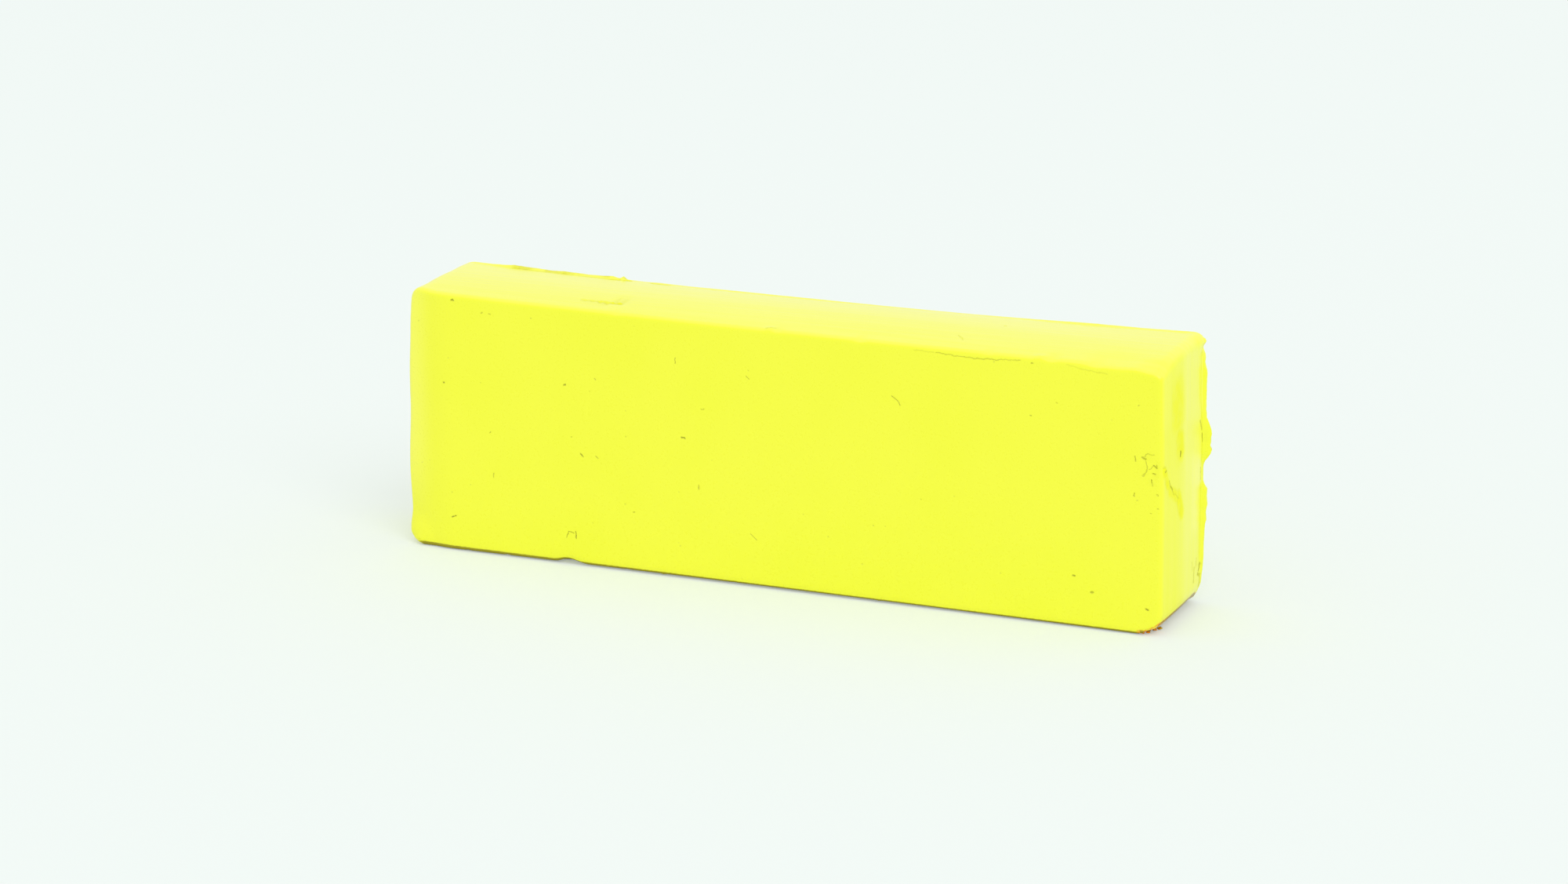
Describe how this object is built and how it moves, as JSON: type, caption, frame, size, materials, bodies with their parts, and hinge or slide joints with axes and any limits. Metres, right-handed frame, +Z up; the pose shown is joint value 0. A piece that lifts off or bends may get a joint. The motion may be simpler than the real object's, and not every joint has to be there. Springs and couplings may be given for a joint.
{
  "type": "oil paint stick",
  "caption": "Plain moulded bar of solid oil paint, standing on a long side, with soft corners and a ragged flash round its back edge.",
  "frame": {"origin": "centre of the flat land that the bar stands on, at mid length and mid thickness", "axes": "+X along the length, to the right seen from the front; -Y out of the broad front face; +Z up"},
  "size_m": [0.1013, 0.0158, 0.0339],
  "materials": {
    "paint": "waxy satin, bright lemon yellow"
  },
  "bodies": {
    "root": {"paint_stick": "paint"}
  },
  "joints": []
}
